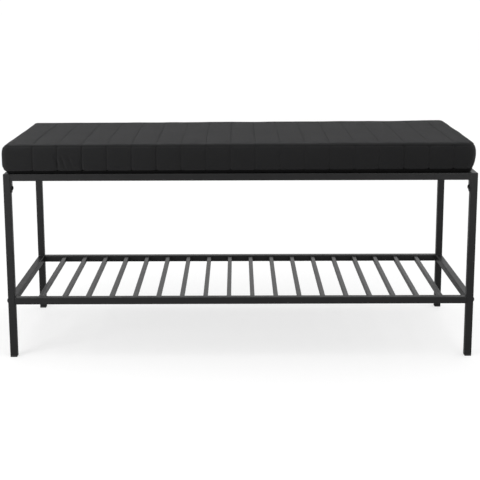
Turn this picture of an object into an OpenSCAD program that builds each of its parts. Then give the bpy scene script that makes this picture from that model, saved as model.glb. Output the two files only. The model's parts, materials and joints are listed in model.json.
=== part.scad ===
// Entryway bench: a square-tube steel frame with a slatted shelf near the floor, and a loose
// channel-stitched cushion on a slatted seat. Dimensions are millimetres.
// The bench stands on z = 0, centred on x = 0 and y = 0. Its length is along X, its front is
// towards -Y and its top is towards +Z.
// Each end is a welded frame of two legs and two side rails. The long rails bolt between the ends.

/* [Bench] */
// Length over the legs
bench_length = 1000; // [900:10:1200]
// Depth over the legs
bench_depth = 350; // [320:10:420]
// Height of the steel frame, without the cushion
frame_height = 404; // [380:2:450]
// Height of the middle of the shelf rails above the floor
shelf_height = 126; // [110:1:160]

/* [Steel tube] */
// Width of the square tube
tube = 15; // [14:0.5:18]
// Wall thickness of the tube
tube_wall = 1; // [0.8:0.1:1.2]
// Outer corner radius of the tube
tube_radius = 1.5; // [1.4:0.1:2]

/* [Slats] */
// Width of a square slat
slat = 9.5; // [8:0.5:10]
// Wall thickness of a slat
slat_wall = 0.8; // [0.6:0.1:1]
// Outer corner radius of a slat
slat_radius = 1.2; // [1.1:0.1:1.4]
// Number of slats in the shelf
shelf_slats = 18; // [14:1:20]
// Number of slats under the cushion
seat_slats = 9; // [6:1:10]
// How far the seat slats lie below the top of the frame
seat_slat_drop = 1; // [0.5:0.5:4]

/* [Bolted corners] */
// Thickness of the plate welded to each end of a top rail
plate_thickness = 2; // [1.5:0.5:3]
// How far the plate hangs below the top rail
plate_drop = 26; // [24:1:30]
// Thread radius of the M6 bolts
thread_radius = 3; // [3:1:3]
// Radial clearance between a bolt and its thread, and between a foot's plug and its tube
clearance = 0.05; // [0.03:0.01:0.08]
// Radius of the clearance holes for the bolts
bolt_hole_radius = 3.25; // [3.2:0.05:3.5]
// Radius of a bolt's domed head
head_radius = 5.25; // [5:0.05:5.5]
// Height of a bolt's domed head
head_height = 3.3; // [3:0.1:3.5]
// Radius of the barrel of a rivet nut
rivet_nut_radius = 4.5; // [4.3:0.1:4.8]
// Length of the threaded plug in each end of a shelf rail
plug_length = 14; // [12:1:20]

/* [Feet] */
// Thickness of a foot cap below the end of the leg
foot_thickness = 4; // [3:0.5:6]
// Length of the foot's plug inside the leg
foot_plug_length = 14; // [10:1:20]

/* [Cushion] */
// Length of the cushion
cushion_length = 1000; // [900:10:1200]
// Depth of the cushion
cushion_depth = 346; // [316:10:416]
// Thickness of the cushion
cushion_thickness = 64; // [50:1:80]
// How far the cushion sits to the left of the middle of the frame
cushion_shift = 3; // [0:1:3]
// Corner radius of the cushion in plan
cushion_corner = 12; // [8:1:20]
// Thickness of the cushion's cover
cover = 1.2; // [1:0.1:2]
// Gap between the loose cushion and the frame that it lies on
cushion_gap = 0.3; // [0.3:0.1:0.6]
// Length of the zip in the back of the cover
zip_length = 860; // [700:10:880]
// Width of the zip's tape
zip_width = 14; // [12:1:20]

/* [Hidden] */
$fn = 48;
overcut = 1;

leg_x = (bench_length - tube) / 2;
leg_y = (bench_depth - tube) / 2;
inner_length = bench_length - 2 * tube;
inner_depth = bench_depth - 2 * tube;
rail_centre_z = frame_height - tube / 2;
tube_bore = tube - 2 * tube_wall;

top_rail_length = inner_length - 2 * plate_thickness;
plate_bolt_drop = 16;
plate_bolt_z = frame_height - tube - plate_bolt_drop;
plate_margin = 0.5;
plate_bolt_length = 12;
shelf_bolt_length = tube + 10;
head_rim = 1;
socket_radius = 2;
socket_depth = 1.8;
rivet_nut_length = 9;
crimp_radius = 5.4;
crimp_length = 2.5;

cushion_base = frame_height + cushion_gap;
cushion_setback = 0.5;
cushion_y = cushion_setback - (bench_depth - cushion_depth) / 2;
boxing_height = cushion_thickness - 2 * cover;
cushion_middle = cushion_base + cushion_thickness / 2;
cushion_back = cushion_y + cushion_depth / 2;
zip_tape = 0.6;
slider_length = 12;
slider_width = 9;
slider_thickness = 1.6;
slider_end_margin = 10;

function two_digits(number) = number < 10 ? str("0", number) : str(number);
function shelf_slat_name(i) = str("shelf_slat_", two_digits(i + 1));
function seat_slat_name(i) = str("seat_slat_", two_digits(i + 1));
// Middle of slat i, where count slats and their equal gaps fill the space between the legs
function slat_x(i, count) = (i + 1) * inner_length / (count + 1) - inner_length / 2;

frame_colour = "#2c2d2f";
slat_colour = "#303133";
zinc_colour = "#9a9da0";
bolt_colour = "#1f2021";
plastic_colour = "#1b1b1c";
fabric_colour = "#2e2e30";
foam_colour = "#e6dfc8";
zip_colour = "#222224";

// ---- Outlines and plain tubes ----

// A rectangle with true arcs at its corners
module rounded_rectangle(width, depth, radius) {
    square([width - 2 * radius, depth], center = true);
    square([width, depth - 2 * radius], center = true);
    for (sx = [-1, 1], sy = [-1, 1])
        translate([sx * (width / 2 - radius), sy * (depth / 2 - radius)])
            circle(radius);
}

module tube_outline(width, wall, radius) {
    difference() {
        rounded_rectangle(width, width, radius);
        rounded_rectangle(width - 2 * wall, width - 2 * wall, radius - wall);
    }
}

// Turns a shape drawn along Z so that it lies along X
module along_x() {
    rotate([0, 90, 0]) children();
}

// Turns a shape drawn along Z so that it lies along Y
module along_y() {
    rotate([90, 0, 0]) children();
}

module frame_tube(length) {
    linear_extrude(length, center = true) tube_outline(tube, tube_wall, tube_radius);
}

// Takes children drawn at the right-hand end to either end: side is -1 at the left, 1 at the right
module at_side(side) {
    if (side > 0) children();
    else mirror([1, 0, 0]) children();
}

// Takes children drawn at the front to the front or the rear: row is -1 at the front, 1 at the rear
module at_row(row) {
    if (row < 0) children();
    else mirror([0, 1, 0]) children();
}

// ---- End frames ----

// A block on one side of the plane of the front mitre, which slopes at 45 degrees
module mitre_waste(tilt) {
    waste = 4 * tube;
    translate([leg_x, -bench_depth / 2, frame_height])
        rotate([tilt, 0, 0])
            translate([-waste / 2, -waste / 2, 0])
                cube(waste);
}

module above_mitre() {
    mitre_waste(-45);
}

module below_mitre() {
    mitre_waste(135);
}

// A hollow leg: mitred at the top, bored right through for the shelf bolt, and drilled in its
// inner wall for the rivet nut that takes the top rail's bolt
module leg(side, row) {
    leg_length = frame_height - foot_thickness;
    color(frame_colour)
        at_side(side) at_row(row)
            difference() {
                translate([leg_x, -leg_y, foot_thickness + leg_length / 2]) frame_tube(leg_length);
                above_mitre();
                translate([leg_x, -leg_y, shelf_height])
                    along_x() cylinder(h = tube + 2 * overcut, r = bolt_hole_radius, center = true);
                translate([leg_x - tube / 2 - overcut, -leg_y, plate_bolt_z])
                    along_x() cylinder(h = tube / 2 + overcut, r = rivet_nut_radius);
            }
}

// A plastic glide: a cap under the leg with a plug inside the tube
module foot(side, row) {
    plug = tube_bore - 2 * clearance;
    color(plastic_colour)
        at_side(side) at_row(row)
            translate([leg_x, -leg_y, 0]) {
                linear_extrude(foot_thickness) rounded_rectangle(tube, tube, tube_radius);
                translate([0, 0, foot_thickness])
                    linear_extrude(foot_plug_length)
                        rounded_rectangle(plug, plug, tube_radius - tube_wall);
            }
}

// The rail at the top of an end frame, mitred to both legs
module top_side_rail(side) {
    color(frame_colour)
        at_side(side)
            difference() {
                translate([leg_x, 0, rail_centre_z]) along_y() frame_tube(bench_depth);
                below_mitre();
                mirror([0, 1, 0]) below_mitre();
            }
}

// The rail at shelf height in an end frame, butted between the legs
module lower_side_rail(side) {
    color(frame_colour)
        at_side(side)
            translate([leg_x, 0, shelf_height]) along_y() frame_tube(inner_depth);
}

// ---- Long rails and slats ----

module top_rail(row) {
    color(frame_colour)
        at_row(row)
            translate([0, -leg_y, rail_centre_z]) along_x() frame_tube(top_rail_length);
}

module shelf_rail(row) {
    color(frame_colour)
        at_row(row)
            translate([0, -leg_y, shelf_height]) along_x() frame_tube(inner_length);
}

// A square-tube slat from the front rail to the rear rail
module slat_at(x, z) {
    color(slat_colour)
        translate([x, 0, z])
            along_y()
                linear_extrude(inner_depth, center = true) tube_outline(slat, slat_wall, slat_radius);
}

module shelf_slat(i) {
    slat_at(slat_x(i, shelf_slats), shelf_height);
}

module seat_slat(i) {
    slat_at(slat_x(i, seat_slats), frame_height - seat_slat_drop - slat / 2);
}

// ---- Bolted corners ----

// The plate that closes a top rail's end and hangs below it against the leg's inner face, with a
// round lower end and a hole for the bolt
module end_plate(side, row) {
    plate_width = tube - 2 * plate_margin;
    plate_top = frame_height - plate_margin;
    round_z = frame_height - tube - plate_drop + plate_width / 2;
    color(frame_colour)
        at_side(side) at_row(row)
            translate([inner_length / 2 - plate_thickness, -leg_y, 0])
                difference() {
                    union() {
                        translate([0, -plate_width / 2, round_z])
                            cube([plate_thickness, plate_width, plate_top - round_z]);
                        translate([0, 0, round_z])
                            along_x() cylinder(h = plate_thickness, r = plate_width / 2);
                    }
                    translate([-overcut, 0, plate_bolt_z])
                        along_x() cylinder(h = plate_thickness + 2 * overcut, r = bolt_hole_radius);
                }
}

// Radius of the sphere that a bolt's head is cut from, above the head's straight rim
function dome_radius() =
    let (rise = head_height - head_rim)
    (head_radius * head_radius + rise * rise) / (2 * rise);

// A rounded head with a hexagon socket, and its shank; the head's seat is at z = 0
module button_bolt(shank) {
    difference() {
        union() {
            rotate_extrude()
                intersection() {
                    translate([0, head_height - dome_radius()]) circle(dome_radius(), $fn = 96);
                    square([head_radius, head_height]);
                }
            translate([0, 0, -shank]) cylinder(h = shank, r = thread_radius - clearance);
        }
        translate([0, 0, head_height - socket_depth])
            cylinder(h = socket_depth + overcut, r = socket_radius / cos(30), $fn = 6);
    }
}

module every_corner() {
    for (side = [-1, 1], row = [-1, 1])
        at_side(side) at_row(row) children();
}

// Bolts from inside the bench, through the end plates and into the legs
module top_rail_bolts() {
    color(bolt_colour)
        every_corner()
            translate([inner_length / 2 - plate_thickness, -leg_y, plate_bolt_z])
                rotate([0, -90, 0]) button_bolt(plate_bolt_length);
}

// Bolts from outside the bench, through the legs and into the shelf rails
module shelf_rail_bolts() {
    color(bolt_colour)
        every_corner()
            translate([bench_length / 2, -leg_y, shelf_height])
                rotate([0, 90, 0]) button_bolt(shelf_bolt_length);
}

// Threaded barrels crimped in the legs' inner walls
module leg_rivet_nuts() {
    color(zinc_colour)
        every_corner()
            translate([inner_length / 2, -leg_y, plate_bolt_z])
                along_x()
                    difference() {
                        union() {
                            cylinder(h = rivet_nut_length, r = rivet_nut_radius - clearance);
                            translate([0, 0, tube_wall]) cylinder(h = crimp_length, r = crimp_radius);
                        }
                        translate([0, 0, -overcut])
                            cylinder(h = rivet_nut_length + 2 * overcut, r = thread_radius);
                    }
}

// Threaded steel plugs welded in the ends of the shelf rails
module rail_end_plugs() {
    color(zinc_colour)
        every_corner()
            translate([inner_length / 2 - plug_length, -leg_y, shelf_height])
                along_x()
                    difference() {
                        linear_extrude(plug_length)
                            rounded_rectangle(tube_bore, tube_bore, tube_radius - tube_wall);
                        translate([0, 0, -overcut])
                            cylinder(h = plug_length + 2 * overcut, r = thread_radius);
                    }
}

// ---- Cushion ----

module cushion_outline(inset) {
    rounded_rectangle(cushion_length - 2 * inset, cushion_depth - 2 * inset, cushion_corner - inset);
}

// Extrudes a plan outline upwards from a height above the cushion's base
module cushion_layer(from, height) {
    translate([-cushion_shift, cushion_y, cushion_base + from]) linear_extrude(height) children();
}

module cushion_top_panel() {
    color(fabric_colour) cushion_layer(cushion_thickness - cover, cover) cushion_outline(0);
}

module cushion_bottom_panel() {
    color(fabric_colour) cushion_layer(0, cover) cushion_outline(0);
}

// The fabric band round the sides, between the top and bottom panels
module cushion_boxing() {
    color(fabric_colour)
        cushion_layer(cover, boxing_height)
            difference() {
                cushion_outline(0);
                cushion_outline(cover);
            }
}

module cushion_foam() {
    color(foam_colour) cushion_layer(cover, boxing_height) cushion_outline(cover);
}

// The closed zip on the back of the boxing, with its tape
module cushion_zip() {
    color(zip_colour)
        translate([-cushion_shift - zip_length / 2, cushion_back, cushion_middle - zip_width / 2])
            cube([zip_length, zip_tape, zip_width]);
}

// The slider at the zip's closed end, which is the right-hand one from the front
module zip_slider() {
    slider_x = zip_length / 2 - cushion_shift - slider_end_margin - slider_length;
    color(zinc_colour)
        translate([slider_x, cushion_back + zip_tape, cushion_middle - slider_width / 2])
            cube([slider_length, slider_thickness, slider_width]);
}

leg(-1, -1);  // front_left_leg
leg(1, -1);  // front_right_leg
leg(-1, 1);  // rear_left_leg
leg(1, 1);  // rear_right_leg
foot(-1, -1);  // front_left_foot
foot(1, -1);  // front_right_foot
foot(-1, 1);  // rear_left_foot
foot(1, 1);  // rear_right_foot
top_side_rail(-1);  // left_top_side_rail
top_side_rail(1);  // right_top_side_rail
lower_side_rail(-1);  // left_lower_side_rail
lower_side_rail(1);  // right_lower_side_rail
top_rail(-1);  // front_top_rail
top_rail(1);  // rear_top_rail
shelf_rail(-1);  // front_shelf_rail
shelf_rail(1);  // rear_shelf_rail
end_plate(-1, -1);  // front_left_end_plate
end_plate(1, -1);  // front_right_end_plate
end_plate(-1, 1);  // rear_left_end_plate
end_plate(1, 1);  // rear_right_end_plate
rail_end_plugs();
leg_rivet_nuts();
top_rail_bolts();
shelf_rail_bolts();
for (i = [0:shelf_slats - 1]) shelf_slat(i);
for (i = [0:seat_slats - 1]) seat_slat(i);
cushion_top_panel();
cushion_bottom_panel();
cushion_boxing();
cushion_foam();
cushion_zip();
zip_slider();
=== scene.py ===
"""Looks for the entryway bench: a powder-coated steel frame and a channel-stitched box cushion."""

import json
import math

import bmesh
import bpy
import numpy as np
from mathutils import Matrix, Vector


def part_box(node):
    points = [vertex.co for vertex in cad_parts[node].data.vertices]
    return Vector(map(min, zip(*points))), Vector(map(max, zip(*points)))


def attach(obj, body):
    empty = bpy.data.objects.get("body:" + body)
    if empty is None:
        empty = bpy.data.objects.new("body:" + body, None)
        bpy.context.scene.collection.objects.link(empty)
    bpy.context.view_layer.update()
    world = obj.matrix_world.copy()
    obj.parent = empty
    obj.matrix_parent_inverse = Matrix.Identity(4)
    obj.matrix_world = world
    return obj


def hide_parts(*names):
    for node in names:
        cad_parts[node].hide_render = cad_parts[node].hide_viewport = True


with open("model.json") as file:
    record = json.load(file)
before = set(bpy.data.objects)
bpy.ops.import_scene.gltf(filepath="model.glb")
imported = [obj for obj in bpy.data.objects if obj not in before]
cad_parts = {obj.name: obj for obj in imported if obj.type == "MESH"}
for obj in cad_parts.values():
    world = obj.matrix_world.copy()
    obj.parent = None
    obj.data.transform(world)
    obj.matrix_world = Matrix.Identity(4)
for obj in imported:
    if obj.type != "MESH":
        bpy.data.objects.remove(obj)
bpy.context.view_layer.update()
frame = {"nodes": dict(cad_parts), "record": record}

MM = 0.001
SEED = 7

# ---- Where things are, from the frame, in millimetres ----

def box_mm(node):
    low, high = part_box(node)
    return np.array(low) / MM, np.array(high) / MM


CUSHION_LOW = box_mm("cushion_bottom_panel")[0]
CUSHION_HIGH = box_mm("cushion_top_panel")[1]
CUSHION_MIDDLE = (CUSHION_LOW + CUSHION_HIGH) / 2
CUSHION_HALF = (CUSHION_HIGH - CUSHION_LOW) / 2
ZIP_LOW, ZIP_HIGH = box_mm("cushion_zip")
SLIDER_LOW, SLIDER_HIGH = box_mm("zip_slider")
SHELF_SLATS = sorted(node for node in frame["nodes"] if node.startswith("shelf_slat_"))
SEAT_SLATS = sorted(node for node in frame["nodes"] if node.startswith("seat_slat_"))
# Half the length and half the depth of the space between the top rails
SEAT_HALF = (box_mm("right_top_side_rail")[0][0], box_mm("rear_top_rail")[0][1])
CORNERS = ("front_left", "front_right", "rear_left", "rear_right")

# ---- The cushion's shape, in millimetres ----

CHANNEL_PITCH = 52.0
CHANNEL_SEAMS = 18
SEAMS_MIDDLE = 5.7  # the row of seams is centred a little to the right of the frame's middle
TOP_EDGE_RADIUS = 5.0
BOTTOM_EDGE_RADIUS = 2.5
UNDERSIDE_LIFT = 6.8  # how far the front's lower edge stands clear of the rail, halfway along
UNDERSIDE_TILT = 1.2  # how much more that is at the right end, and less at the left
# The underside's edge at the left, right, front and back: (flat from this far in, lift)
UNDERSIDE_EDGES = ((5.0, 5.0), (2.0, 1.0), (8.0, UNDERSIDE_LIFT), (5.0, 4.5))
CURL_SPAN = 0.35  # the share of that distance over which it turns up
CURL_RISE = 8  # the turned-up edge lifts the sides too, to this far above their middle height
UNDERSIDE_RIM = 18.0  # the bottom panel starts this far in
LOWER_EDGE_Z = CUSHION_LOW[2] + UNDERSIDE_LIFT + BOTTOM_EDGE_RADIUS  # where the front's curve ends
LEFT_CORNER_RADIUS = 13.0
RIGHT_CORNER_RADIUS = 20.0
# Each side's profile: how far its belly stands out, how far the bottom and the top are drawn in
# from that, the power of the curve between, and the belly's height, from -1 at the bottom to 1
# at the top
LEFT_PROFILE = (0.0, 6.5, 6.5, 5.0, 0.0)
RIGHT_PROFILE = (0.0, 9.0, 7.0, 2.0, 0.3)
FRONT_PROFILE = (1.5, 2.6, 5.0, 3.5, -0.1)
BACK_PROFILE = (0.0, 2.5, 5.0, 2.2, 0.0)
PROFILE_REACH = 34.0  # a side's profile fades out this far in from its edge
RIGHT_END_BOW = 3.0
SETTLE_ON_RAILS = 0.26  # how far the underside sinks from the plain solid's, on the rails
SETTLE_ON_SLATS = 1.05
SETTLE_SPAN = (-0.4, 2.2)  # it goes from one to the other this far inside the rails' inner faces
SETTLE_RISE, SETTLE_FADE = 9, 5  # the sinking is gone this far up, and fades out over this height
CROWN = 3.0
TOP_EDGE_SINK = 1.2
LEAN = 1.4  # the right end stands this much higher than the middle, and the left end lower
REAR_CORNER_LIFT = 1.6  # the rear right corner stands this much higher
REAR_CORNER_SPAN = (180, 10)  # that begins and is complete at these distances from the right end
REAR_CORNER_DEPTH = 40  # and it begins this far behind the middle
PINNED_LINE, STITCHED_LINE = 0.4, 0.45  # points this close to a seam are held, or carry stitches
EDGE_SEAM_DROP = 6.5
EDGE_SEAM_REACH = 1.5
EDGE_SEAM_CLEAR = (3.0, 5.0)  # the top edge's seam comes in between these distances from the top
TOP_SEAM_DEPTH, BOTTOM_SEAM_DEPTH = 0.8, 0.7
# Each channel seam is a narrow groove in a wide shallow dip: depth and reach of each, top and front
TOP_GROOVE, TOP_DIP = (0.19, 1.8), (0.11, 7.0)
FRONT_GROOVE, FRONT_DIP = (1.0, 1.7), (0.55, 6.0)
SEAM_STRENGTH, SEAM_SWING = 1.05, 0.45  # a seam's pull, and how far it varies along the bench
SEAM_SWING_BIAS = 1.3  # over 1 takes the strong seams further in from the left end
# The quilting comes in between these distances from the top and from the front
TOP_BAND, FRONT_BAND = (7, 3), (9, 4)
BACK_BAND = 6  # points this close to the back plane count as being on it
REAR_FADE = (7.0, 26.0)  # the quilting fades out over these distances from the rear edge
PUCKER = 0.16
PUCKER_LENGTH = 17.0
PUCKER_WANDER, PUCKER_WANDER_LENGTHS = 2.2, (45, 140)
PUCKER_FROM, PUCKER_TO = 1.6, 8.0  # the gathers begin and fade out about this far from a seam
SIM_FRAMES = 20
SIM_PRESSURE = 4.0
SIM_CAP = 0.7
REAR_SWELL = 0.15  # the share of the swelling that is left at the rear
RIPPLES = ((0.3, (60, 190)), (0.1, (22, 60)))  # depth, and the shortest and the longest length
RIPPLES_RISE, CREASES_RISE = (6, 14), (8, 14)  # heights over which each comes in
# Creases low on the front: distance from the left end, height of the middle, length, lean to the
# right, depth
FRONT_CREASES = (
    (60, 22, 36, -2, 0.5),
    (117, 27, 22, 7, 1.7),
    (131, 24, 28, 8, 1.8),
    (146, 26, 20, 6, 1.3),
    (169, 19, 18, 4, 1.3),
)
CREASE_WIDTH = 2.6
CREASE_RIDGE, CREASE_RIDGE_PLACE = 0.35, 1.9  # a low ridge beside each crease, in depths and widths
CREASED_SPAN = (108, 178)  # the deeper ones lie between these distances from the left end


# ---- Camera and stage, in metres and degrees ----

LENS = 75.4
LENS_SHIFT = (0.006, -0.18)
CAMERA_PLACE = (-0.0069, -2.2502, 0.8022)
CAMERA_DOWN, CAMERA_ROLL = 9.72, -0.16
WORLD_LIGHT = 0.445
WORLD_LIGHT_GAINS = (0.32, 0.28, 0.05)  # how much brighter it is towards +X, +Y and +Z
BACKDROP_WHITE = 1.05
FLOOR_GREY, FLOOR_WHITE = 0.4, 0.62
FLOOR_HALF = 25
SOFTBOX = (1.0, 0.8)
SUN_SPREAD = 75


def make_camera():
    data = bpy.data.cameras.new("camera")
    camera = bpy.data.objects.new("camera", data)
    bpy.context.scene.collection.objects.link(camera)
    bpy.context.scene.camera = camera
    data.sensor_width = 36
    data.lens = LENS
    data.shift_x, data.shift_y = LENS_SHIFT
    data.clip_end = 60
    down = Matrix.Rotation(math.radians(90 - CAMERA_DOWN), 4, "X")
    roll = Matrix.Rotation(math.radians(CAMERA_ROLL), 4, "Z")
    camera.matrix_world = Matrix.Translation(CAMERA_PLACE) @ (down @ roll)


def add_light(name, kind, place, aim, power, size):
    data = bpy.data.lights.new(name, kind)
    data.energy = power
    if kind == "SUN":
        data.angle = size
    else:
        data.shape = "RECTANGLE"
        data.size, data.size_y = size
    light = bpy.data.objects.new(name, data)
    bpy.context.scene.collection.objects.link(light)
    light.location = place
    light.rotation_euler = (Vector(aim) - Vector(place)).to_track_quat("-Z", "Y").to_euler()


def make_world():
    """A white studio, brightest behind and to the right, whose backdrop shows plain white."""
    world = bpy.data.worlds.new("studio")
    bpy.context.scene.world = world
    world.use_nodes = True
    tree = world.node_tree
    lit = tree.nodes["Background"]
    lit.inputs["Color"].default_value = (1, 1, 1, 1)
    split = tree.nodes.new("ShaderNodeSeparateXYZ")
    tree.links.new(tree.nodes.new("ShaderNodeTexCoord").outputs["Generated"], split.inputs[0])
    strength = WORLD_LIGHT
    for axis, gain in enumerate(WORLD_LIGHT_GAINS):
        node = tree.nodes.new("ShaderNodeMath")
        node.operation = "MULTIPLY_ADD"
        tree.links.new(split.outputs[axis], node.inputs[0])
        node.inputs[1].default_value = gain
        if isinstance(strength, float):
            node.inputs[2].default_value = strength
        else:
            tree.links.new(strength, node.inputs[2])
        strength = node.outputs[0]
    tree.links.new(strength, lit.inputs["Strength"])
    seen = tree.nodes.new("ShaderNodeBackground")
    seen.inputs["Color"].default_value = (1, 1, 1, 1)
    seen.inputs["Strength"].default_value = BACKDROP_WHITE
    choose = tree.nodes.new("ShaderNodeMixShader")
    path = tree.nodes.new("ShaderNodeLightPath")
    tree.links.new(path.outputs["Is Camera Ray"], choose.inputs[0])
    tree.links.new(lit.outputs[0], choose.inputs[1])
    tree.links.new(seen.outputs[0], choose.inputs[2])
    tree.links.new(choose.outputs[0], tree.nodes["World Output"].inputs["Surface"])


def floor_paper():
    """Pale paper that is seen as brightly lit, and gives the bench only what its grey reflects."""
    material = new_material("floor_paper", (FLOOR_GREY,) * 3, 1.0, Specular_IOR_Level=0.0,
                            Emission_Color=(1, 1, 1, 1))
    n = Nodes(material)
    seen = n.add("ShaderNodeLightPath").outputs["Is Camera Ray"]
    n.drive("Emission Strength", n.math("MULTIPLY", seen, FLOOR_WHITE))
    return material


def make_floor():
    mesh = bpy.data.meshes.new("floor")
    signs = ((-1, -1), (1, -1), (1, 1), (-1, 1))
    corners = [(FLOOR_HALF * sx, FLOOR_HALF * sy, 0) for sx, sy in signs]
    mesh.from_pydata(corners, [], [(0, 1, 2, 3)])
    floor = bpy.data.objects.new("floor", mesh)
    bpy.context.scene.collection.objects.link(floor)
    mesh.materials.append(floor_paper())


def make_stage():
    bpy.context.scene.view_settings.view_transform = "Standard"
    make_world()
    make_floor()
    add_light("overhead_sun", "SUN", place=(0.3, -0.3, 3), aim=(0, 0, 0), power=1.55,
              size=math.radians(SUN_SPREAD))
    add_light("left_softbox", "AREA", place=(-1.7, -1.5, 0.65), aim=(-0.2, 0, 0.4), power=28,
              size=SOFTBOX)
    add_light("right_softbox", "AREA", place=(1.3, -2.3, 0.7), aim=(0.3, 0, 0.3), power=10,
              size=SOFTBOX)


# ---- Materials ----

def new_material(name, colour, roughness, **settings):
    material = bpy.data.materials.new(name)
    material.use_nodes = True
    shader = material.node_tree.nodes["Principled BSDF"]
    shader.inputs["Base Color"].default_value = (*colour, 1)
    shader.inputs["Roughness"].default_value = roughness
    for socket, value in settings.items():
        shader.inputs[socket.replace("_", " ")].default_value = value
    return material


class Nodes:
    """Short calls for adding shader nodes to one material."""

    def __init__(self, material):
        self.tree = material.node_tree
        self.shader = self.tree.nodes["Principled BSDF"]
        self.coordinates = self.add("ShaderNodeTexCoord")
        self.place = self.coordinates.outputs["Object"]

    def add(self, kind, **settings):
        node = self.tree.nodes.new(kind)
        for name, value in settings.items():
            setattr(node, name, value)
        return node

    def link(self, source, target):
        self.tree.links.new(source, target)

    def drive(self, socket, source):
        """Links a node's output to one of the shader's own sockets."""
        self.link(source, self.shader.inputs[socket])

    def math(self, operation, a, b=0.0):
        node = self.add("ShaderNodeMath", operation=operation)
        for socket, value in zip(node.inputs, (a, b)):
            if isinstance(value, (int, float)):
                socket.default_value = value
            else:
                self.link(value, socket)
        return node.outputs[0]

    def split(self, vector):
        node = self.add("ShaderNodeSeparateXYZ")
        self.link(vector, node.inputs[0])
        return node.outputs

    def noise(self, scale, detail=2.0, stretch=(1, 1, 1)):
        mapping = self.add("ShaderNodeMapping")
        mapping.inputs["Scale"].default_value = stretch
        self.link(self.place, mapping.inputs["Vector"])
        node = self.add("ShaderNodeTexNoise")
        node.inputs["Scale"].default_value = scale
        node.inputs["Detail"].default_value = detail
        self.link(mapping.outputs[0], node.inputs["Vector"])
        return node.outputs["Fac"]

    def cells(self, scale):
        node = self.add("ShaderNodeTexVoronoi")
        node.inputs["Scale"].default_value = scale
        self.link(self.place, node.inputs["Vector"])
        return node.outputs["Distance"]

    def ramp(self, factor, low, high, start=0.0, end=1.0):
        node = self.add("ShaderNodeMapRange")
        self.link(factor, node.inputs["Value"])
        limits = {"From Min": start, "From Max": end, "To Min": low, "To Max": high}
        for name, value in limits.items():
            node.inputs[name].default_value = value
        return node.outputs[0]

    def mix_colours(self, factor, dark, light):
        node = self.add("ShaderNodeMix", data_type="RGBA")
        self.link(factor, node.inputs["Factor"])
        node.inputs[6].default_value = (*dark, 1)
        node.inputs[7].default_value = (*light, 1)
        return node.outputs[2]

    def bump(self, height, strength, distance):
        node = self.add("ShaderNodeBump")
        node.inputs["Strength"].default_value = strength
        node.inputs["Distance"].default_value = distance
        self.link(height, node.inputs["Height"])
        return node.outputs[0]

    def weave(self, thread_mm):
        """Crowns of a plain weave on whichever pair of axes each face lies along."""
        turns = math.pi / (thread_mm * MM)
        axes = self.split(self.place)
        waves = [self.math("SINE", self.math("MULTIPLY", axis, turns)) for axis in axes]
        facing = self.split(self.coordinates.outputs["Normal"])
        height = 0.0
        for a, b, across in ((0, 1, 2), (0, 2, 1), (1, 2, 0)):
            weight = self.math("MULTIPLY", facing[across], facing[across])
            crowns = self.math("MULTIPLY", waves[a], waves[b])
            height = self.math("ADD", self.math("MULTIPLY", crowns, weight), height)
        return height


def satin_coat(name, dark, light, roughness, gloss=0.27):
    """A hard satin coat: fine orange peel, faint mottling and a slightly uneven gloss."""
    material = new_material(name, dark, roughness, Specular_IOR_Level=gloss)
    n = Nodes(material)
    n.drive("Base Color", n.mix_colours(n.noise(35, 3), dark, light))
    n.drive("Roughness", n.ramp(n.noise(60, 2), roughness - 0.05, roughness + 0.07))
    peel = n.math("ADD", n.noise(700, 1), n.math("MULTIPLY", n.noise(2200, 1), 0.4))
    n.drive("Normal", n.bump(peel, 0.35, 0.00012))
    return material


def woven_fabric(name, dark, light, thread_mm, sheen=0.135):
    """A plain weave with slubs along the threads both ways and soft patches of shade."""
    material = new_material(name, dark, 0.9, Specular_IOR_Level=0.15, Sheen_Weight=sheen,
                            Sheen_Roughness=0.5, Sheen_Tint=(0.8, 0.8, 0.82, 1))
    n = Nodes(material)
    weave = n.weave(thread_mm)
    slub = n.math("ADD", n.noise(90, 2, (1, 14, 14)), n.noise(90, 2, (14, 1, 1)))
    height = n.math("ADD", n.math("MULTIPLY", weave, 0.8), slub)
    n.drive("Normal", n.bump(height, 0.6, 0.0004))
    patches = n.math("ADD", n.math("MULTIPLY", n.noise(14, 3), 0.5), n.math("MULTIPLY", slub, 0.2))
    shade = n.math("ADD", patches, n.math("MULTIPLY", weave, 0.18))
    n.drive("Base Color", n.mix_colours(shade, dark, light))
    return material


def sewing_thread():
    """Twisted polyester thread."""
    material = new_material("sewing_thread", (0.0105, 0.0105, 0.011), 0.8, Specular_IOR_Level=0.15,
                            Sheen_Weight=0.12, Sheen_Roughness=0.5)
    n = Nodes(material)
    n.drive("Normal", n.bump(n.noise(1600, 1), 0.5, 0.0002))
    return material


def plated_steel(name, dark, light, roughness):
    """Bare or plated metal with fine drawn lines and a cloudy gloss."""
    material = new_material(name, light, roughness, Metallic=1.0)
    n = Nodes(material)
    lines = n.noise(300, 3, (1, 12, 12))
    n.drive("Base Color", n.mix_colours(lines, dark, light))
    n.drive("Roughness", n.ramp(n.noise(120, 2), roughness - 0.08, roughness + 0.12))
    n.drive("Normal", n.bump(lines, 0.2, 0.00008))
    return material


def moulded_plastic():
    """Finely grained black plastic with speckles and a patchy gloss."""
    material = new_material("foot_plastic", (0.011, 0.011, 0.0115), 0.55)
    n = Nodes(material)
    speckle = n.noise(180, 4)
    n.drive("Base Color", n.mix_colours(speckle, (0.009, 0.009, 0.0095), (0.016, 0.016, 0.0165)))
    n.drive("Roughness", n.ramp(n.noise(400, 2), 0.45, 0.7))
    n.drive("Normal", n.bump(n.noise(2600, 2), 0.3, 0.0001))
    return material


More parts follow.
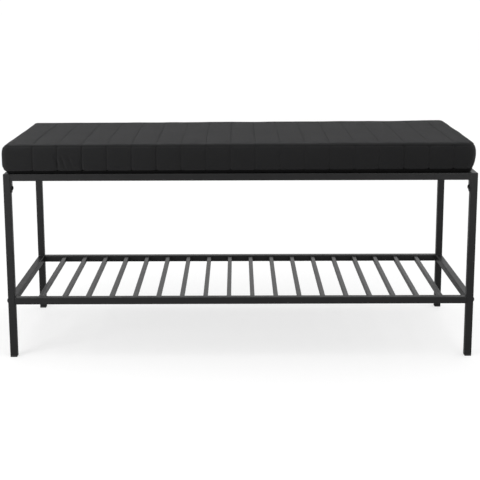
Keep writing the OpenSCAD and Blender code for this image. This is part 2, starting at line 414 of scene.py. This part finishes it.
def open_cell_foam():
    """Cream polyurethane foam with open cells."""
    material = new_material("foam", (0.78, 0.72, 0.55), 0.95, Specular_IOR_Level=0.1)
    n = Nodes(material)
    pores = n.cells(900)
    n.drive("Base Color", n.mix_colours(pores, (0.55, 0.48, 0.33), (0.84, 0.78, 0.60)))
    n.drive("Normal", n.bump(pores, 0.8, 0.0006))
    return material


def grey(value, blue=1.03):
    """A near-neutral black or grey, as linear colour."""
    return (value, value, value * blue)


def make_materials():
    return {
        "frame_steel": satin_coat("powder_coat_frame", grey(0.0092), grey(0.0137), 0.36, 0.33),
        "slat_steel": satin_coat("powder_coat_slats", grey(0.0090), grey(0.0140), 0.3, 0.58),
        "bolt_steel": satin_coat("black_bolts", grey(0.0070), grey(0.0120), 0.34),
        "zinc_steel": plated_steel("zinc_plate", grey(0.36), grey(0.50), 0.35),
        "foot_plastic": moulded_plastic(),
        "cushion_fabric": woven_fabric("cushion_weave", grey(0.0089, 1.05), grey(0.0152), 0.8),
        # The lining is a black cloth whose near-black is partly painted shade, for the crevice under the
        # cushion's front edge
        "lining_painted_shade": woven_fabric("lining_weave_painted_shade", grey(0.0030), grey(0.0055), 1.1, 0.01),
        "thread": sewing_thread(),
        "foam": open_cell_foam(),
        "zip_tape": woven_fabric("zip_tape_weave", grey(0.012), grey(0.020), 0.4, 0.05),
        "zip_teeth": satin_coat("zip_teeth", grey(0.014), grey(0.024), 0.4, 0.4),
        "slider_metal": plated_steel("slider_metal", grey(0.08), grey(0.14), 0.3),
    }


def dress_cad_nodes(materials):
    slots = {part["node"]: part["material_slot"] for part in frame["record"]["subparts"]}
    for node, piece in frame["nodes"].items():
        piece.material_slots[0].material = materials[slots[node]]


# ---- Mesh helpers ----

def link_mesh(name, points_mm, faces, material, smooth=True):
    mesh = bpy.data.meshes.new(name)
    mesh.from_pydata((np.asarray(points_mm) * MM).tolist(), [], faces)
    mesh.update()
    if smooth:
        mesh.shade_smooth()
    else:
        mesh.shade_flat()
    mesh.materials.append(material)
    piece = bpy.data.objects.new(name, mesh)
    bpy.context.scene.collection.objects.link(piece)
    return piece


def mesh_points_mm(mesh):
    points = np.empty(len(mesh.vertices) * 3)
    mesh.vertices.foreach_get("co", points)
    return points.reshape(-1, 3) / MM


def set_mesh_points_mm(mesh, points):
    mesh.vertices.foreach_set("co", (points * MM).ravel())
    mesh.update()


def mesh_normals(mesh):
    normals = np.empty(len(mesh.vertices) * 3)
    mesh.vertex_normals.foreach_get("vector", normals)
    return normals.reshape(-1, 3)


def apply_modifiers(piece):
    graph = bpy.context.evaluated_depsgraph_get()
    mesh = bpy.data.meshes.new_from_object(piece.evaluated_get(graph))
    piece.modifiers.clear()
    piece.data = mesh


def subdivide(piece):
    piece.modifiers.new("smooth", "SUBSURF").levels = 1
    apply_modifiers(piece)


def box_surface(xs, ys, zs):
    """The surface of a box cut by grid lines: its points and its outward quads."""
    lines = (xs, ys, zs)
    last = [len(line) - 1 for line in lines]
    index, places, faces = {}, [], []

    def corner(place):
        if place not in index:
            index[place] = len(places)
            places.append(place)
        return index[place]

    for axis in range(3):
        u, v = (axis + 1) % 3, (axis + 2) % 3
        for side in (0, last[axis]):
            for i in range(last[u]):
                for j in range(last[v]):
                    ring = []
                    for a, b in ((i, j), (i + 1, j), (i + 1, j + 1), (i, j + 1)):
                        place = [0, 0, 0]
                        place[axis], place[u], place[v] = side, a, b
                        ring.append(corner(tuple(place)))
                    faces.append(ring if side else ring[::-1])
    places = np.array(places)
    columns = [np.asarray(line)[places[:, axis]] for axis, line in enumerate(lines)]
    return np.stack(columns, axis=1), faces


def spaced(start, end, step):
    count = max(1, round((end - start) / step))
    return list(np.linspace(start, end, count + 1))


def fill_gaps(keys, step):
    """The key lines, with equal steps between them."""
    keys = sorted(keys)
    lines = keys[:1]
    for start, end in zip(keys, keys[1:]):
        lines += spaced(start, end, step)[1:]
    return lines


def smooth_step(value, start, end):
    t = np.clip((value - start) / (end - start), 0, 1)
    return t * t * (3 - 2 * t)


def unit(vectors):
    return vectors / np.maximum(np.linalg.norm(vectors, axis=-1, keepdims=True), 1e-9)


class Shape:
    """Points and faces gathered from many small closed parts, for one mesh."""

    def __init__(self):
        self.points, self.faces, self.count = [], [], 0

    def add(self, points, faces):
        self.points.append(np.asarray(points))
        self.faces += [[corner + self.count for corner in face] for face in faces]
        self.count += len(points)

    def rings(self, rings, closed=False):
        """Skins rings of equal length, with flat end caps unless the rings close on themselves."""
        rings = np.asarray(rings)
        count, sides = rings.shape[:2]
        faces = []
        for i in range(count if closed else count - 1):
            here, there = i * sides, (i + 1) % count * sides
            for j in range(sides):
                k = (j + 1) % sides
                faces.append([here + j, here + k, there + k, there + j])
        if not closed:
            faces += [list(range(sides))[::-1], [(count - 1) * sides + j for j in range(sides)]]
        self.add(rings.reshape(-1, 3), faces)

    def tube(self, path, radii, sides=6, closed=False, up=(0, 0, 1)):
        """A tube along a path of points, with one radius for each point."""
        path = np.asarray(path, float)
        if closed:
            along = unit(np.roll(path, -1, axis=0) - np.roll(path, 1, axis=0))
        else:
            along = unit(np.gradient(path, axis=0))
        side = unit(np.cross(along, up))
        over = np.cross(side, along)
        turn = np.linspace(0, 2 * math.pi, sides, endpoint=False)[None, :, None]
        spokes = np.cos(turn) * side[:, None] + np.sin(turn) * over[:, None]
        self.rings(path[:, None] + spokes * np.asarray(radii)[:, None, None], closed)

    def piece(self, name, material, body, slot):
        made = link_mesh(name, np.concatenate(self.points), self.faces, material)
        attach(made, body)
        return made


def rounded_square(half, radius, steps=5):
    """Points along the four corner arcs of a rounded square, anticlockwise from its right side."""
    corners = ((1, 1, 0), (-1, 1, 90), (-1, -1, 180), (1, -1, 270))
    points = []
    for sx, sy, start in corners:
        for angle in np.radians(np.linspace(start, start + 90, steps)):
            points.append((sx * (half - radius) + radius * math.cos(angle),
                           sy * (half - radius) + radius * math.sin(angle)))
    return np.array(points)


# ---- Cushion ----

def seam_positions():
    """Where the channel seams cross the bench."""
    middle = (CHANNEL_SEAMS - 1) / 2
    return [SEAMS_MIDDLE + (i - middle) * CHANNEL_PITCH for i in range(CHANNEL_SEAMS)]


def cushion_grid():
    """Grid lines of the cover, close together at its seams, its creases and its edges."""
    hx, hy, hz = CUSHION_HALF
    length_cell, depth_cell, height_cell, crease_cell = 8.6, 8.4, 5.2, 3.0
    edge = (0, 1.5, 3.0, 5.0, 7.5, 10.0, 12.0, 14.0, 16.0, 19.0)
    foot = (0, 1.5, 3.0, 5.0, 8.0)
    brow = (0, 1.7, 3.4, 5.0, EDGE_SEAM_DROP, 8.0, 10.0)
    near_seam = (-3.6, -1.3, 0.0, 1.3, 3.6)
    seams = [x - CUSHION_MIDDLE[0] + d for x in seam_positions() for d in near_seam]
    across = [-hx + d for d in np.arange(*CREASED_SPAN, crease_cell)]
    creased = [x for x in across if min(abs(x - seam) for seam in seams) > 1.2]
    xs = fill_gaps([-hx + d for d in edge] + seams + creased + [hx - d for d in edge], length_cell)
    ys = fill_gaps([-hy + d for d in edge] + [hy - d for d in edge], depth_cell)
    zs = fill_gaps([-hz + d for d in foot] + [hz - d for d in brow], height_cell)
    return xs, ys, zs


def quarter_round(a, b):
    """Turns the outside of a unit square into a unit quarter circle."""
    return a * np.sqrt(1 - b * b / 2), b * np.sqrt(1 - a * a / 2)


def round_edges(points, half, top_radius, bottom_radius, left_corner, right_corner):
    """Rounds a box's top and bottom edges, and then its corners in plan."""
    x, y, z = points.T
    hx, hy, hz = half
    radius = np.where(z > 0, top_radius, bottom_radius)
    inset = np.minimum(hx - abs(x), hy - abs(y))
    a = np.clip(1 - inset / radius, 0, 1)
    b = np.clip((abs(z) - hz + radius) / radius, 0, 1)
    out, up = quarter_round(a, b)
    new_inset = np.where(a > 0, radius * (1 - out), inset)
    z = np.where(b > 0, np.sign(z) * (hz - radius + radius * up), z)
    x = np.where(a > 0, x * (hx - new_inset) / np.maximum(hx - inset, 1), x)
    y = np.where(a > 0, y * (hy - new_inset) / np.maximum(hy - inset, 1), y)
    corner = np.where(x < 0, left_corner, right_corner)
    qx = np.clip((abs(x) - hx + corner) / corner, 0, 1)
    qy = np.clip((abs(y) - hy + corner) / corner, 0, 1)
    u, v = quarter_round(qx, qy)
    x = np.where(qx > 0, np.sign(x) * (hx - corner + corner * u), x)
    y = np.where(qy > 0, np.sign(y) * (hy - corner + corner * v), y)
    return np.stack([x, y, z], axis=1)


def side_place(z, profile):
    """How far a side stands out from the box at heights from -1 at the bottom to 1 at the top."""
    out, low_pull, high_pull, power, belly = profile
    above = np.clip((z - belly) / (1 - belly), 0, 1) ** power
    below = np.clip((belly - z) / (1 + belly), 0, 1) ** power
    return out - high_pull * above - low_pull * below


def underside_curl(x, y, half):
    """How far the underside turns up at each side's edge, from nothing where it is flat."""
    insets = (half[0] + x, half[0] - x, half[1] + y, half[1] - y)
    curl = np.zeros(len(x))
    for inset, (curve, lift) in zip(insets, UNDERSIDE_EDGES):
        clear = lift * smooth_step(np.clip(1 - inset / curve, 0, 1), 0, CURL_SPAN)
        curl = np.maximum(curl, clear)
    return curl * (1 + UNDERSIDE_TILT / UNDERSIDE_LIFT * x / half[0])


def pull_in_and_crown(points, half):
    """Gives each side its profile, curls the underside's edge up, and shapes the top panel."""
    x, y, z = points.T
    hx, hy, hz = half
    level = z / hz
    near_end = smooth_step(abs(x), hx - PROFILE_REACH, hx)
    near_side = smooth_step(abs(y), hy - PROFILE_REACH, hy)
    bow = RIGHT_END_BOW * (1 - (y / hy) ** 2)
    end = np.where(x > 0, side_place(level, RIGHT_PROFILE) + bow, side_place(level, LEFT_PROFILE))
    side = np.where(y > 0, side_place(level, BACK_PROFILE), side_place(level, FRONT_PROFILE))
    new_x = x + np.sign(x) * end * near_end
    new_y = y + np.sign(y) * side * near_side
    on_top = smooth_step(z, -hz, hz)
    crown = CROWN * (1 - (x / hx) ** 4) * (1 - (y / hy) ** 2) - TOP_EDGE_SINK
    far, near = REAR_CORNER_SPAN
    at_right = smooth_step(x, hx - far, hx - near)
    lift = REAR_CORNER_LIFT * at_right * smooth_step(y, REAR_CORNER_DEPTH, hy)
    curl = underside_curl(x, y, half) * smooth_step(-z, -CURL_RISE, hz)
    new_z = z + on_top * (crown + LEAN * x / hx + lift) + curl
    return np.stack([new_x, new_y, new_z], axis=1)


def settle(points):
    """Lets the underside sink on to the rails, and between them on to the seat slats."""
    x, y, z = points.T
    inside = np.minimum(SEAT_HALF[0] - abs(x), SEAT_HALF[1] - abs(y))
    low_down = smooth_step(CUSHION_LOW[2] + SETTLE_RISE - z, 0, SETTLE_FADE)
    off_rails = smooth_step(inside, *SETTLE_SPAN)
    sink = SETTLE_ON_RAILS + (SETTLE_ON_SLATS - SETTLE_ON_RAILS) * off_rails
    return np.stack([x, y, z - sink * low_down], axis=1)


def seam_offset(x):
    """Signed distance from each x to the nearest channel seam."""
    nearest = np.full(len(x), 1e9)
    for seam in seam_positions():
        nearest = np.where(abs(x - seam) < abs(nearest), x - seam, nearest)
    return nearest


def waves(points, seed, lengths, count=14):
    """A smooth random field, mostly from -1 to 1: plane waves between the two lengths given."""
    rng = np.random.default_rng(seed)
    total = np.zeros(len(points))
    for _ in range(count):
        direction = unit(rng.normal(size=3))
        length = rng.uniform(*lengths)
        total += np.sin(points @ direction * 2 * math.pi / length + rng.uniform(0, 2 * math.pi))
    return total / math.sqrt(count)


def swell_by_cloth(piece, pinned):
    """Blows the cover up from inside with its seams held, and returns how far each point moved."""
    scene = bpy.context.scene
    rest = mesh_points_mm(piece.data)
    group = piece.vertex_groups.new(name="sewn")
    group.add(np.flatnonzero(pinned).tolist(), 1.0, "REPLACE")
    cloth = piece.modifiers.new("cloth", "CLOTH")
    settings = cloth.settings
    settings.quality = 5
    settings.mass = 0.35
    settings.tension_stiffness = 15
    settings.compression_stiffness = 15
    settings.shear_stiffness = 5
    settings.bending_stiffness = 0.4
    settings.use_pressure = True
    settings.uniform_pressure_force = SIM_PRESSURE
    settings.effector_weights.gravity = 0
    settings.vertex_group_mass = group.name
    cloth.collision_settings.use_collision = False
    scene.frame_start, scene.frame_end = 1, SIM_FRAMES
    cloth.point_cache.frame_start, cloth.point_cache.frame_end = 1, SIM_FRAMES
    for number in range(1, SIM_FRAMES + 1):
        scene.frame_set(number)
    graph = bpy.context.evaluated_depsgraph_get()
    swollen = mesh_points_mm(piece.evaluated_get(graph).data)
    piece.modifiers.clear()
    piece.vertex_groups.clear()
    scene.frame_set(1)
    return swollen - rest


def quilting(points):
    """How far each point counts as being on the top, and on the front: the two quilted sides."""
    _, y, z = (points - CUSHION_MIDDLE).T
    on_top = smooth_step(z, CUSHION_HALF[2] - TOP_BAND[0], CUSHION_HALF[2] - TOP_BAND[1])
    on_front = smooth_step(-y, CUSHION_HALF[1] - FRONT_BAND[0], CUSHION_HALF[1] - FRONT_BAND[1])
    return on_top, on_front


def seam_strength(x):
    """How hard each point's seam is pulled in: more towards both ends, and unevenly."""
    rng = np.random.default_rng(SEED + 4)
    seams = np.array(seam_positions())
    along = np.linspace(0, 1, CHANNEL_SEAMS)
    even = SEAM_STRENGTH + SEAM_SWING * np.cos(2 * math.pi * along ** SEAM_SWING_BIAS)
    strengths = even * rng.uniform(0.8, 1.2, CHANNEL_SEAMS)
    return strengths[np.abs(x[:, None] - seams).argmin(1)]


def rear_fade(points):
    """How strongly the quilting shows, from nothing at the rear edge."""
    return smooth_step(CUSHION_MIDDLE[1] + CUSHION_HALF[1] - points[:, 1], *REAR_FADE)


def beside_zip(points, margin):
    """Marks the points of the back that the zip covers, with a margin round it."""
    x, y, z = points.T
    inside_x = (x > ZIP_LOW[0] - margin) & (x < ZIP_HIGH[0] + margin)
    inside_z = (z > ZIP_LOW[2] - margin) & (z < ZIP_HIGH[2] + margin)
    return inside_x & inside_z & (y > CUSHION_MIDDLE[1] + CUSHION_HALF[1] - BACK_BAND)


def crease_depth(points):
    """Depth of the slanted creases low on the front, each with a low ridge on its right."""
    x, y, z = points.T
    depth = np.zeros(len(points))
    for from_end, height, length, lean, deep in FRONT_CREASES:
        along = (z - CUSHION_LOW[2] - height) / (length / 2)
        line = CUSHION_LOW[0] + from_end - lean * along / 2
        across = (x - line) / CREASE_WIDTH
        fade = np.exp(-along ** 4)
        depth += deep * np.exp(-across ** 2) * fade
        depth -= CREASE_RIDGE * deep * np.exp(-(across - CREASE_RIDGE_PLACE) ** 2) * fade
    return depth * (y < CUSHION_MIDDLE[1])


def sew(points, normals):
    """Sinks the channel seams, the two edge seams and the creases into the swollen cover."""
    on_top, on_front = quilting(points)
    offset = seam_offset(points[:, 0])
    height = points[:, 2] - CUSHION_LOW[2]
    thickness = CUSHION_HIGH[2] - CUSHION_LOW[2]
    strength = seam_strength(points[:, 0])
    depth = np.zeros(len(points))
    for shares, shapes in ((on_top * rear_fade(points), (TOP_GROOVE, TOP_DIP)),
                           (on_front * (1 - on_top), (FRONT_GROOVE, FRONT_DIP))):
        for deep, reach in shapes:
            depth += deep * shares * np.exp(-((offset / reach) ** 2)) * strength
    on_side = smooth_step(thickness - height, *EDGE_SEAM_CLEAR)
    above_top_seam = thickness - EDGE_SEAM_DROP - height
    above_bottom_seam = height - UNDERSIDE_LIFT - BOTTOM_EDGE_RADIUS - EDGE_SEAM_REACH
    top_seam = np.exp(-((above_top_seam / EDGE_SEAM_REACH) ** 2))
    bottom_seam = np.exp(-((above_bottom_seam / EDGE_SEAM_REACH) ** 2))
    depth += TOP_SEAM_DEPTH * top_seam * on_side + BOTTOM_SEAM_DEPTH * bottom_seam
    depth += crease_depth(points) * smooth_step(height, *CREASES_RISE)
    ripple = sum(deep * waves(points, SEED + i, lengths)
                 for i, (deep, lengths) in enumerate(RIPPLES))
    depth += ripple * smooth_step(height, *RIPPLES_RISE) * ~beside_zip(points, margin=4)
    return points - normals * depth[:, None]


def pucker(points, normals):
    """Small gathers that the stitching pulls up beside each channel seam."""
    quilted = np.maximum(*quilting(points)) * rear_fade(points)
    offset = seam_offset(points[:, 0])
    travel = points[:, 1] + points[:, 2]
    wander = PUCKER_WANDER * waves(points, SEED + 2, PUCKER_WANDER_LENGTHS)
    phase = 2 * math.pi * travel / PUCKER_LENGTH + wander
    fade = np.exp(-((offset / PUCKER_TO) ** 2)) * (1 - np.exp(-((offset / PUCKER_FROM) ** 2)))
    height = PUCKER * np.sin(phase) * fade * quilted
    return points + normals * height[:, None]


def open_underside(piece):
    """Takes away the flat middle of the underside, a panel of its own, and returns its extent."""
    mesh = piece.data
    points = mesh_points_mm(mesh)
    low, high = CUSHION_LOW + UNDERSIDE_RIM, CUSHION_HIGH - UNDERSIDE_RIM
    inner = np.all((points > low)[:, :2] & (points < high)[:, :2], axis=1)
    inner &= points[:, 2] < CUSHION_MIDDLE[2]
    bm = bmesh.new()
    bm.from_mesh(mesh)
    middle = [face for face in bm.faces if all(inner[corner.index] for corner in face.verts)]
    bmesh.ops.delete(bm, geom=middle, context="FACES")
    bm.to_mesh(mesh)
    bm.free()
    return points[inner][:, :2].min(0), points[inner][:, :2].max(0)


def line_underside_with_painted_shade(cover, underneath, lining_painted_shade):
    """The underside, from the bottom edge in, takes the lining, darkened as painted shade."""
    cover.data.materials.append(lining_painted_shade)
    cover.data.polygons.foreach_set("material_index", underneath.astype(np.int32))


def make_cover(materials):
    """The crowned, swollen and sewn cover, and the extent of the opening under it."""
    points, faces = box_surface(*cushion_grid())
    underneath = points[np.array(faces), 2].max(axis=1) < 0.01 - CUSHION_HALF[2]
    rounding = (TOP_EDGE_RADIUS, BOTTOM_EDGE_RADIUS, LEFT_CORNER_RADIUS, RIGHT_CORNER_RADIUS)
    points = round_edges(points, CUSHION_HALF, *rounding)
    points = settle(pull_in_and_crown(points, CUSHION_HALF) + CUSHION_MIDDLE)
    cover = link_mesh("cushion_cover", points, faces, materials["cushion_fabric"])
    # The underside gets the lining, darkened as painted shade in the crevice under the front edge
    line_underside_with_painted_shade(cover, underneath, materials["lining_painted_shade"])

    offset = seam_offset(points[:, 0])
    quilted = np.maximum(*quilting(points)) * rear_fade(points)
    low = points[:, 2] < LOWER_EDGE_Z + 1
    sewn = (abs(offset) < PINNED_LINE) & (quilted > 0.5)
    pinned = sewn | low | beside_zip(points, margin=3)
    moved = swell_by_cloth(cover, pinned)
    length = np.linalg.norm(moved, axis=1)
    held = SIM_CAP * np.tanh(length / SIM_CAP) / np.maximum(length, 1e-6)
    moved *= (held * (REAR_SWELL + (1 - REAR_SWELL) * rear_fade(points)))[:, None]
    set_mesh_points_mm(cover.data, points + moved)

    rim = open_underside(cover)
    subdivide(cover)
    for shape in (sew, pucker):
        set_mesh_points_mm(cover.data, shape(mesh_points_mm(cover.data), mesh_normals(cover.data)))
    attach(cover, "cushion")
    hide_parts("cushion_top_panel", "cushion_boxing")
    return cover, rim


def make_underside(rim, materials):
    """The bottom panel, whose edge lies inside the turned-in edge of the cover."""
    lap, thickness, clearance, cell = 3.0, 0.9, 0.3, 14
    low, high = rim[0] - lap, rim[1] + lap
    half = np.array([*(high - low) / 2, thickness / 2])
    height = CUSHION_LOW[2] - SETTLE_ON_SLATS + clearance + thickness / 2
    middle = np.array([*(low + high) / 2, height])
    grid = [spaced(-half[0], half[0], cell), spaced(-half[1], half[1], cell), [-half[2], half[2]]]
    points, faces = box_surface(*grid)
    points += middle
    # The bottom panel takes the lining's near-black, partly painted shade
    under = link_mesh("cushion_underside", points, faces, materials["lining_painted_shade"], smooth=False)
    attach(under, "cushion")
    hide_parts("cushion_bottom_panel")


def make_foam(materials):
    """The foam core, with rounded edges, well inside the cover."""
    inset, cell = (15, 12, 4.5), 12
    edge_radius, left_radius, right_radius = 6, 12, 16
    half = CUSHION_HALF - inset
    points, faces = box_surface(*[spaced(-reach, reach, cell) for reach in half])
    points = round_edges(points, half, edge_radius, edge_radius, left_radius, right_radius)
    points += CUSHION_MIDDLE
    foam = link_mesh("foam_core", points, faces, materials["foam"])
    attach(foam, "cushion")
    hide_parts("cushion_foam")


def stitch_row(shape, path, normals, step=5.0, length=3.7, radius=0.36):
    """Lays short arched stitches along a path on the cloth, each end sunk in the cloth."""
    sunk, raised = -0.25, 0.28
    travel = np.concatenate([[0], np.cumsum(np.linalg.norm(np.diff(path, axis=0), axis=1))])

    def at(distance, rows):
        return np.array([np.interp(distance, travel, rows[:, axis]) for axis in range(3)])

    for middle in np.arange(step, travel[-1] - step / 2, step):
        places = [middle - length / 2, middle, middle + length / 2]
        out = unit(at(middle, normals))
        points = [at(place, path) + out * rise for place, rise in zip(places, (sunk, raised, sunk))]
        shape.tube(points, (radius * 0.6, radius, radius * 0.6), sides=5, up=out)


def make_channel_stitching(cover, materials):
    """The rows of stitches in the channel seams, across the top and down the front."""
    points, normals = mesh_points_mm(cover.data), mesh_normals(cover.data)
    quilted = np.maximum(*quilting(points)) > 0.5
    clear_below, clear_behind = 2, 9
    quilted &= points[:, 2] > LOWER_EDGE_Z + clear_below
    quilted &= points[:, 1] < CUSHION_MIDDLE[1] + CUSHION_HALF[1] - clear_behind
    shape = Shape()
    for seam in seam_positions():
        row = np.flatnonzero(quilted & (abs(points[:, 0] - seam) < STITCHED_LINE))
        row = row[np.argsort(points[row, 1] + points[row, 2])]
        stitch_row(shape, points[row], normals[row])
    return shape.piece("channel_stitching", materials["thread"], "cushion", "cushion_fabric")


# ---- Zip ----

ZIP_MIDDLE_Z = (ZIP_LOW[2] + ZIP_HIGH[2]) / 2
ZIP_FACE = ZIP_LOW[1]
ZIP_END = 4  # the teeth stop this far from each end of the tapes
TOOTH_PITCH = 1.5
# A tooth's cross-sections from its root to its tip: distance from the zip's middle, width, height
TOOTH = ((2.0, 0.42, 0.4), (0.3, 0.42, 0.5), (-0.5, 0.62, 0.55), (-0.95, 0.3, 0.3))
TOOTH_SECTION = ((-1, -1), (1, -1), (1, 0.6), (0.4, 1), (-0.4, 1), (-1, 0.6))
TAPE_STITCHES_OUT = 5.2


def make_zip_tapes(materials):
    """Two woven tapes, each with a raised edge beside the teeth."""
    shape = Shape()
    outer = (ZIP_HIGH[2] - ZIP_LOW[2]) / 2
    base, cell = ZIP_FACE - 0.4, 20
    # Distance from the zip's middle, and height over the base
    profile = ((outer, 0.0), (outer, 0.45), (outer - 0.6, 0.6), (2.9, 0.6), (2.3, 0.95), (1.5, 0.75),
               (1.3, 0.0))
    for side in (-1, 1):
        section = [(base + up, ZIP_MIDDLE_Z + side * out) for out, up in profile[::side]]
        shape.rings([[(x, y, z) for y, z in section] for x in spaced(ZIP_LOW[0], ZIP_HIGH[0], cell)])
    return shape.piece("zip_tapes", materials["zip_tape"], "cushion", "zip_tape")


def make_zip_teeth(materials):
    """Moulded teeth that reach past the middle from either tape in turn."""
    shape = Shape()
    count = int((ZIP_HIGH[0] - ZIP_LOW[0] - 2 * ZIP_END) / TOOTH_PITCH)
    face = ZIP_FACE + 0.55
    for i in range(count):
        side = 1 if i % 2 else -1
        x = ZIP_LOW[0] + ZIP_END + i * TOOTH_PITCH
        rings = []
        for out, wide, tall in TOOTH:
            z = ZIP_MIDDLE_Z + side * out
            rings.append([(x + dx * wide * side, face + dy * tall, z) for dx, dy in TOOTH_SECTION])
        shape.rings(rings)
    return shape.piece("zip_teeth", materials["zip_teeth"], "cushion", "zip_tape")


def make_zip_stitching(materials):
    """Rows of stitches that hold the tapes, and a bar tack at each end of the zip."""
    shape = Shape()
    outward = (0, 1, 0)
    xs = spaced(ZIP_LOW[0] + 2, ZIP_HIGH[0] - 2, 30)
    for side in (-1, 1):
        path = np.array([(x, ZIP_FACE + 0.2, ZIP_MIDDLE_Z + side * TAPE_STITCHES_OUT) for x in xs])
        normals = np.tile(np.array(outward, float), (len(path), 1))
        stitch_row(shape, path, normals, step=3.6, length=2.7, radius=0.26)
    threads, pitch, reach = 5, 0.5, 6
    for middle in (ZIP_LOW[0] + 1.5, ZIP_HIGH[0] - 1.5):
        for k in range(threads):
            x = middle + (k - 2) * pitch
            places = ((-reach, 0), (0, 0.5), (reach, 0))
            points = [(x, ZIP_FACE + up, ZIP_MIDDLE_Z + z) for z, up in places]
            shape.tube(points, (0.2, 0.3, 0.2), sides=5, up=outward)
    return shape.piece("zip_stitching", materials["thread"], "cushion", "zip_tape")


def plate_outline(length, wide_half, narrow_half, steps=7):
    """Half-widths along a plate that narrows at one end, with round ends."""
    places = []
    for angle in np.linspace(90, 0, steps):
        t = math.radians(angle)
        places.append((wide_half * (1 - math.sin(t)), wide_half * math.cos(t)))
    for angle in np.linspace(0, 90, steps):
        t = math.radians(angle)
        places.append((length - narrow_half + narrow_half * math.sin(t), narrow_half * math.cos(t)))
    return places


def make_zip_slider(materials):
    """The slider's body, its bridge, and a pull tab that hangs against the cloth."""
    shape = Shape()
    x, face, z = SLIDER_LOW[0], SLIDER_LOW[1], (SLIDER_LOW[2] + SLIDER_HIGH[2]) / 2
    length = SLIDER_HIGH[0] - SLIDER_LOW[0]
    base, shoulder, top = face - 0.25, face + 0.9 - 0.3, face + 0.9
    rings = []
    for along, half in plate_outline(length, 3.4, 4.4):
        low, high, flat = z - half - 0.05, z + half + 0.05, half * 0.86
        section = ((base, low), (base, high), (shoulder, high), (top, z + flat), (top, z - flat),
                   (shoulder, low))
        rings.append([(x + along, *place) for place in section])
    shape.rings(rings[::-1])

    count = 9
    arch = [(x + length * (0.25 + 0.5 * t), face + 0.8 + 1.5 * math.sin(math.pi * t), z)
            for t in np.linspace(0, 1, count)]
    shape.tube(arch, [0.75] * count, sides=8)

    tab_x, tab_top, tab_length, tab_thickness = x + length / 2, z + 1.2, 22, 0.9
    rings = []
    for along, half in plate_outline(tab_length, 1.6, 2.6):
        y, tab_z, flat = face + 1.35 - 0.02 * along, tab_top - along, half * 0.85
        rings.append([(tab_x - half, y, tab_z), (tab_x + half, y, tab_z),
                      (tab_x + flat, y + tab_thickness, tab_z), (tab_x - flat, y + tab_thickness, tab_z)])
    shape.rings(rings)
    slider = shape.piece("zip_slider_body", materials["slider_metal"], "zip_slider", "slider_metal")
    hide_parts("zip_slider")


def make_zip(materials):
    tapes = make_zip_tapes(materials)
    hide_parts("cushion_zip")
    make_zip_teeth(materials)
    make_zip_stitching(materials)
    make_zip_slider(materials)


# ---- Welds and feet ----

def bead_radii(count, radius, rng, waves_along):
    """The rippled thickness along a weld bead."""
    turn = np.linspace(0, 2 * math.pi * waves_along, count, endpoint=False)
    return radius * (1 + 0.12 * np.sin(turn) + rng.uniform(-0.06, 0.06, count))


def make_slat_welds(name, slats, materials):
    """A bead round each end of each slat, where it meets the rail."""
    rng = np.random.default_rng(SEED)
    shape = Shape()
    for slat in slats:
        low, high = box_mm(slat)
        middle, half = (low + high) / 2, (high[0] - low[0]) / 2
        for y in (low[1], high[1]):
            loop = rounded_square(half + 0.15, 1.4, 6)
            path = [(middle[0] + a, y, middle[2] + b) for a, b in loop]
            shape.tube(path, bead_radii(len(path), 0.95, rng, 8), 6, closed=True, up=(0, 1, 0))
    return shape.piece(name, materials["slat_steel"], "frame", "slat_steel")


def straight_bead(shape, start, end, radius, rng):
    """A bead from one point to another, thinner at its two ends."""
    count = 15
    path = np.linspace(start, end, count)
    radii = bead_radii(count, radius, rng, 5)
    radii[[0, -1]] *= 0.5
    shape.tube(path, radii, 8, up=(0.3, 0.5, 0.8))


def make_frame_welds(materials):
    """Beads over and under each lower side rail's ends, and where each top rail meets its plate."""
    rng = np.random.default_rng(SEED + 3)
    shape = Shape()
    for side in ("left", "right"):
        low, high = box_mm(f"{side}_lower_side_rail")
        for y in (low[1], high[1]):
            for z in (low[2], high[2]):
                straight_bead(shape, (low[0] + 1.5, y, z), (high[0] - 1.5, y, z), 1.5, rng)
    for corner in CORNERS:
        low, high = box_mm(f"{corner}_end_plate")
        inner = high[0] if high[0] < 0 else low[0]
        rail_low = box_mm(f"{corner.split('_')[0]}_top_rail")[0][2]
        start, end = (inner, low[1] + 1, rail_low), (inner, high[1] - 1, rail_low)
        straight_bead(shape, start, end, 1.3, rng)
    return shape.piece("frame_welds", materials["frame_steel"], "frame", "frame_steel")


def make_foot(corner, materials):
    """A moulded cap with a soft lower edge and a shadow line, and a ribbed plug inside the leg."""
    node = f"{corner}_foot"
    low, high = box_mm(node)
    middle, half = (low + high) / 2, (high[0] - low[0]) / 2
    cap = box_mm(f"{corner}_leg")[0][2] - low[2]
    plug_top = high[2] - low[2]
    core, rib, rib_pitch = half - 1.35, half - 1.1, 3.2
    # Height over the floor, and half the width there
    levels = [(0.0, half - 3.0), (0.0, half - 1.0), (0.25, half - 0.45), (0.8, half - 0.1),
              (1.5, half), (cap - 0.9, half), (cap - 0.55, half - 0.35), (cap - 0.3, half - 0.1),
              (cap, half - 0.1), (cap, half - 1.3)]
    for z in np.arange(cap + 2, plug_top - 3, rib_pitch):
        levels += [(z, core), (z + 0.5, rib), (z + 1.4, rib), (z + 1.9, core)]
    levels += [(plug_top - 1, half - 1.4), (plug_top, half - 2.4)]
    shape = Shape()
    rings = []
    for z, reach in levels:
        outline = rounded_square(reach, max(0.5, 1.6 - (half - reach)), 5)
        rings.append([(middle[0] + a, middle[1] + b, low[2] + z) for a, b in outline])
    shape.rings(rings)
    foot = shape.piece(f"{corner}_foot_cap", materials["foot_plastic"], "frame", "foot_plastic")
    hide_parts(node)


# ---- The whole bench ----

make_camera()
make_stage()
materials = make_materials()
dress_cad_nodes(materials)
cover, rim = make_cover(materials)
make_underside(rim, materials)
make_foam(materials)
make_channel_stitching(cover, materials)
make_zip(materials)
make_slat_welds("shelf_slat_welds", SHELF_SLATS, materials)
make_slat_welds("seat_slat_welds", SEAT_SLATS, materials)
make_frame_welds(materials)
for corner in CORNERS:
    make_foot(corner, materials)
